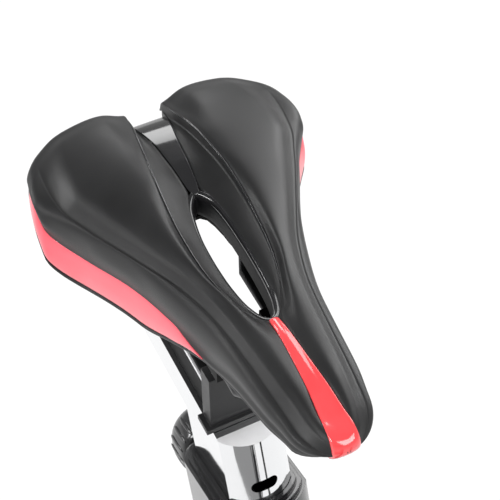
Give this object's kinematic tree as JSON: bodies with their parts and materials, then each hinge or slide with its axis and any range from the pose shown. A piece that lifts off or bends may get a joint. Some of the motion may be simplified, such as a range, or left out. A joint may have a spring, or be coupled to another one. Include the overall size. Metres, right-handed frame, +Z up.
{
  "type": "indoor spin bike",
  "caption": "Indoor spin bike with a split saddle that has red side and nose trim, a chrome L-shaped seat post, a belt-driven flywheel and a bullhorn handlebar.",
  "frame": {"origin": "on the floor, midway along and across the bike", "axes": "+Z up, -Y forwards, +X to the rider's left"},
  "size_m": [0.48, 1.01, 1.1516],
  "materials": {
    "frame_paint": "satin",
    "post_chrome": "polished",
    "machined_steel": "brushed",
    "flywheel_iron": "satin",
    "moulded_black": "matt",
    "gloss_black": "gloss",
    "cover_grey": "matt",
    "red_gloss": "gloss",
    "pad_skin": "matt",
    "grip_foam": "matt",
    "tread_rubber": "matt",
    "felt": "matt"
  },
  "bodies": {
    "frame": {"base_beam": "frame_paint", "seat_tube": "frame_paint", "main_tube": "frame_paint", "bracket_bridge": "frame_paint", "rear_strut": "frame_paint", "head_tube": "frame_paint", "fork_blade_left": "frame_paint", "fork_blade_right": "frame_paint", "front_stabiliser": "frame_paint", "rear_stabiliser": "frame_paint", "stabiliser_caps": "moulded_black", "frame_bolts": "machined_steel", "seat_tube_collar": "gloss_black", "head_tube_collar": "moulded_black", "bracket_shell": "frame_paint", "bracket_bearings": "machined_steel", "flywheel_axle": "machined_steel", "axle_nuts": "machined_steel", "belt_guard_outer": "gloss_black", "belt_guard_inner": "gloss_black", "guard_screws": "machined_steel", "drive_belt": "tread_rubber"},
    "seat_post": {"seat_post": "post_chrome", "seat_arm_plug": "moulded_black"},
    "seat_slider": {"slider_carriage": "moulded_black", "slider_front_cover": "cover_grey", "slider_rail_strips": "machined_steel", "saddle_bracket": "moulded_black"},
    "slider_knob": {"slider_knob": "moulded_black"},
    "saddle": {"clamp_cheeks": "moulded_black", "clamp_bolt": "machined_steel", "saddle_rails": "machined_steel", "saddle_base": "moulded_black", "saddle_pad": "pad_skin", "centre_channel": "gloss_black", "nose_trim": "red_gloss", "side_trims": "red_gloss"},
    "seat_pin": {"seat_pin_knob": "gloss_black"},
    "handlebar": {"handlebar_post": "post_chrome", "handlebar": "frame_paint", "handlebar_grips": "grip_foam", "handlebar_end_caps": "moulded_black", "console": "moulded_black"},
    "head_pin": {"head_pin_knob": "gloss_black"},
    "crank": {"crank_spindle": "machined_steel", "crank_arms": "frame_paint", "drive_pulley": "machined_steel"},
    "flywheel": {"flywheel": "flywheel_iron", "flywheel_pulley": "machined_steel"},
    "pedal_left": {"pedal_left": "moulded_black"},
    "pedal_right": {"pedal_right": "moulded_black"},
    "tension": {"tension_knob": "gloss_black"},
    "brake": {"brake_pad": "felt"},
    "wheel_left": {"wheel_left": "tread_rubber"},
    "wheel_right": {"wheel_right": "tread_rubber"},
    "foot_front_left": {"foot_front_left": "tread_rubber"},
    "foot_front_right": {"foot_front_right": "tread_rubber"},
    "foot_rear_left": {"foot_rear_left": "tread_rubber"},
    "foot_rear_right": {"foot_rear_right": "tread_rubber"}
  },
  "joints": [
    {"name": "seat_height", "type": "slide", "parent": "frame", "child": "seat_post", "axis": [0, 0.2924, 0.9563], "range_m": [-0.024, 0.144]},
    {"name": "seat_fore_aft", "type": "slide", "parent": "seat_post", "child": "seat_slider", "axis": [0, 1, 0], "range_m": [-0.025, 0.025]},
    {"name": "slider_knob_turn", "type": "hinge", "parent": "seat_slider", "child": "slider_knob", "pos_m": [0, 0.454, 0.704], "axis": [0, 0, 1], "range_deg": [-180, 180]},
    {"name": "saddle_tilt", "type": "hinge", "parent": "seat_slider", "child": "saddle", "pos_m": [0, 0.352, 0.832], "axis": [1, 0, 0], "range_deg": [-6, 6]},
    {"name": "seat_pin_pull", "type": "slide", "parent": "frame", "child": "seat_pin", "axis": [0, 0.9563, -0.2924], "range_m": [0, 0.01], "stiffness_N_per_m": 900, "springref_m": -0.004},
    {"name": "handlebar_height", "type": "slide", "parent": "frame", "child": "handlebar", "axis": [0, 0.1736, 0.9848], "range_m": [-0.024, 0.096]},
    {"name": "handlebar_pin_pull", "type": "slide", "parent": "frame", "child": "head_pin", "axis": [0, 0.9848, -0.1736], "range_m": [0, 0.01], "stiffness_N_per_m": 900, "springref_m": -0.004},
    {"name": "crank_spin", "type": "hinge", "parent": "frame", "child": "crank", "pos_m": [0, 0.115, 0.33], "axis": [1, 0, 0], "continuous": true},
    {"name": "flywheel_spin", "type": "hinge", "parent": "frame", "child": "flywheel", "pos_m": [0, -0.29, 0.3], "axis": [1, 0, 0], "continuous": true},
    {"name": "pedal_left_spin", "type": "hinge", "parent": "crank", "child": "pedal_left", "pos_m": [0.076, 0.28, 0.33], "axis": [1, 0, 0], "continuous": true},
    {"name": "pedal_right_spin", "type": "hinge", "parent": "crank", "child": "pedal_right", "pos_m": [-0.076, -0.05, 0.33], "axis": [1, 0, 0], "continuous": true},
    {"name": "tension_turn", "type": "hinge", "parent": "frame", "child": "tension", "pos_m": [0, -0.05453, 0.572], "axis": [0, 0.6545, 0.756], "range_deg": [-180, 180]},
    {"name": "brake_lift", "type": "slide", "parent": "frame", "child": "brake", "axis": [0, 0.6545, 0.756], "range_m": [-0.0025, 0.0025]},
    {"name": "wheel_left_spin", "type": "hinge", "parent": "frame", "child": "wheel_left", "pos_m": [0.167, -0.485, 0.048], "axis": [1, 0, 0], "continuous": true},
    {"name": "wheel_right_spin", "type": "hinge", "parent": "frame", "child": "wheel_right", "pos_m": [-0.167, -0.485, 0.048], "axis": [1, 0, 0], "continuous": true},
    {"name": "foot_front_left_turn", "type": "hinge", "parent": "frame", "child": "foot_front_left", "pos_m": [0.205, -0.436, 0.02], "axis": [0, 0, 1], "range_deg": [-180, 180]},
    {"name": "foot_front_right_turn", "type": "hinge", "parent": "frame", "child": "foot_front_right", "pos_m": [-0.205, -0.436, 0.02], "axis": [0, 0, 1], "range_deg": [-180, 180]},
    {"name": "foot_rear_left_turn", "type": "hinge", "parent": "frame", "child": "foot_rear_left", "pos_m": [0.205, 0.4545, 0.02], "axis": [0, 0, 1], "range_deg": [-180, 180]},
    {"name": "foot_rear_right_turn", "type": "hinge", "parent": "frame", "child": "foot_rear_right", "pos_m": [-0.205, 0.4545, 0.02], "axis": [0, 0, 1], "range_deg": [-180, 180]}
  ],
  "couplings": [
    {"joint": "flywheel_spin", "follows": "crank_spin", "ratio": 3},
    {"joint": "brake_lift", "follows": "tension_turn", "m_per_rad": 0.00079577}
  ]
}
